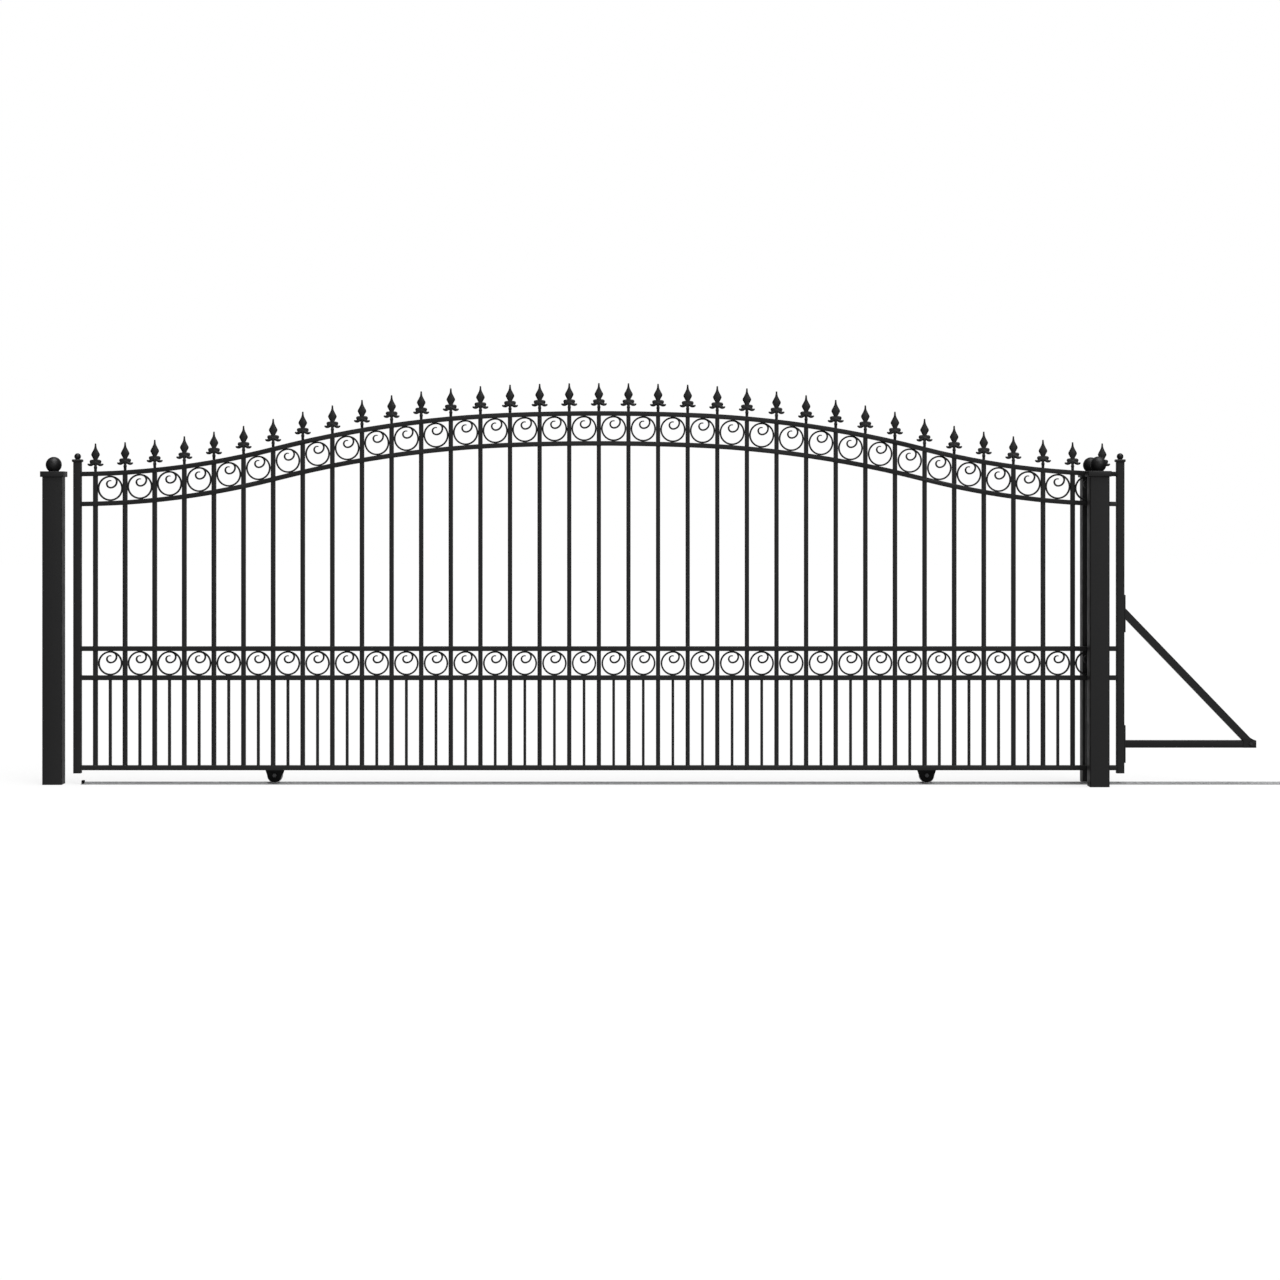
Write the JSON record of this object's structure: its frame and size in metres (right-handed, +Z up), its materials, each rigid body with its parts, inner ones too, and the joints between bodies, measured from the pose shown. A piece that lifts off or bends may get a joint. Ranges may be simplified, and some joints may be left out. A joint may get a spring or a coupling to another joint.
{
  "type": "sliding driveway gate",
  "caption": "Arched steel sliding gate leaf with pickets, scrolls and spear finials, on grooved wheels and a ground track, with a catch post and a roller-guided post pair.",
  "frame": {"origin": "on the underside of the ground track, level with the middle of the closed leaf's length, in the leaf's middle plane, at ground level", "axes": "+X along the gate, the way it opens, to the right seen from the front; +Y to the rear; +Z up"},
  "size_m": [9.8452, 0.37, 2.0952],
  "materials": {
    "black_powder_coat": "satin black powder coat on steel, fine orange peel",
    "cast_black": "satin black powder coat on cast or pressed steel, slightly rougher",
    "galvanised_steel": "hot-dip galvanised, dull",
    "zinc_hardware": "bright zinc plating",
    "blackened_hardware": "blackened steel, satin",
    "wheel_steel": "turned steel, zinc plated",
    "bearing_steel": "ground steel",
    "black_nylon": "turned nylon, satin",
    "black_plastic": "moulded plastic, matt"
  },
  "bodies": {
    "site": {"catch_post": "black_powder_coat", "catch_post_cap": "black_powder_coat", "catch_post_ball": "cast_black", "front_guide_post": "black_powder_coat", "front_guide_post_cap": "black_powder_coat", "front_guide_post_ball": "cast_black", "rear_guide_post": "black_powder_coat", "rear_guide_post_cap": "black_powder_coat", "rear_guide_post_ball": "cast_black", "track_section_1": "galvanised_steel", "track_section_2": "galvanised_steel", "track_section_3": "galvanised_steel", "track_section_4": "galvanised_steel", "track_end_stops": "galvanised_steel", "front_roller_brackets": "zinc_hardware", "rear_roller_brackets": "zinc_hardware", "roller_pins": "zinc_hardware", "roller_pin_nuts": "zinc_hardware", "bracket_bolts": "zinc_hardware"},
    "leaf": {"left_frame_post": "black_powder_coat", "right_frame_post": "black_powder_coat", "frame_post_caps": "black_powder_coat", "frame_post_balls": "cast_black", "bottom_rail": "black_powder_coat", "mid_lower_rail": "black_powder_coat", "mid_upper_rail": "black_powder_coat", "lower_arch_rail": "black_powder_coat", "upper_arch_rail": "black_powder_coat", "tall_pickets": "black_powder_coat", "short_pickets": "black_powder_coat", "arch_scrolls": "black_powder_coat", "band_scrolls": "black_powder_coat", "spear_finials": "cast_black", "left_wheel_plates": "black_powder_coat", "right_wheel_plates": "black_powder_coat", "axle_bolts": "blackened_hardware", "axle_nuts": "zinc_hardware", "axle_spacers": "zinc_hardware", "tail_upper_plate": "black_powder_coat", "tail_lower_plate": "black_powder_coat", "tail_bar": "black_powder_coat", "tail_brace": "black_powder_coat", "tail_cheeks": "black_powder_coat", "tail_plate_bolts": "blackened_hardware", "tail_corner_bolt": "blackened_hardware", "tail_nuts": "zinc_hardware", "tail_bar_plug": "black_plastic"},
    "left_wheel": {"left_wheel": "wheel_steel", "left_wheel_bearing": "bearing_steel"},
    "right_wheel": {"right_wheel": "wheel_steel", "right_wheel_bearing": "bearing_steel"},
    "front_upper_roller": {"front_upper_roller": "black_nylon"},
    "front_lower_roller": {"front_lower_roller": "black_nylon"},
    "rear_upper_roller": {"rear_upper_roller": "black_nylon"},
    "rear_lower_roller": {"rear_lower_roller": "black_nylon"}
  },
  "joints": [
    {"name": "leaf_slide", "type": "slide", "parent": "site", "child": "leaf", "axis": [1, 0, 0], "range_m": [0, 5.18]},
    {"name": "left_wheel_spin", "type": "hinge", "parent": "leaf", "child": "left_wheel", "pos_m": [-1.69151, 0, 0.047], "axis": [0, 1, 0], "continuous": true},
    {"name": "right_wheel_spin", "type": "hinge", "parent": "leaf", "child": "right_wheel", "pos_m": [1.71151, 0, 0.047], "axis": [0, 1, 0], "continuous": true},
    {"name": "front_upper_roller_spin", "type": "hinge", "parent": "site", "child": "front_upper_roller", "pos_m": [2.59, -0.0395, 0.7075], "axis": [0, 0, 1], "continuous": true},
    {"name": "front_lower_roller_spin", "type": "hinge", "parent": "site", "child": "front_lower_roller", "pos_m": [2.59, -0.0395, 0.5555], "axis": [0, 0, 1], "continuous": true},
    {"name": "rear_upper_roller_spin", "type": "hinge", "parent": "site", "child": "rear_upper_roller", "pos_m": [2.59, 0.0395, 0.7075], "axis": [0, 0, 1], "continuous": true},
    {"name": "rear_lower_roller_spin", "type": "hinge", "parent": "site", "child": "rear_lower_roller", "pos_m": [2.59, 0.0395, 0.5555], "axis": [0, 0, 1], "continuous": true}
  ],
  "couplings": [
    {"joint": "left_wheel_spin", "follows": "leaf_slide", "rad_per_m": 29.412},
    {"joint": "right_wheel_spin", "follows": "leaf_slide", "rad_per_m": 29.412},
    {"joint": "front_upper_roller_spin", "follows": "leaf_slide", "rad_per_m": -50},
    {"joint": "front_lower_roller_spin", "follows": "leaf_slide", "rad_per_m": -50},
    {"joint": "rear_upper_roller_spin", "follows": "leaf_slide", "rad_per_m": 50},
    {"joint": "rear_lower_roller_spin", "follows": "leaf_slide", "rad_per_m": 50}
  ]
}
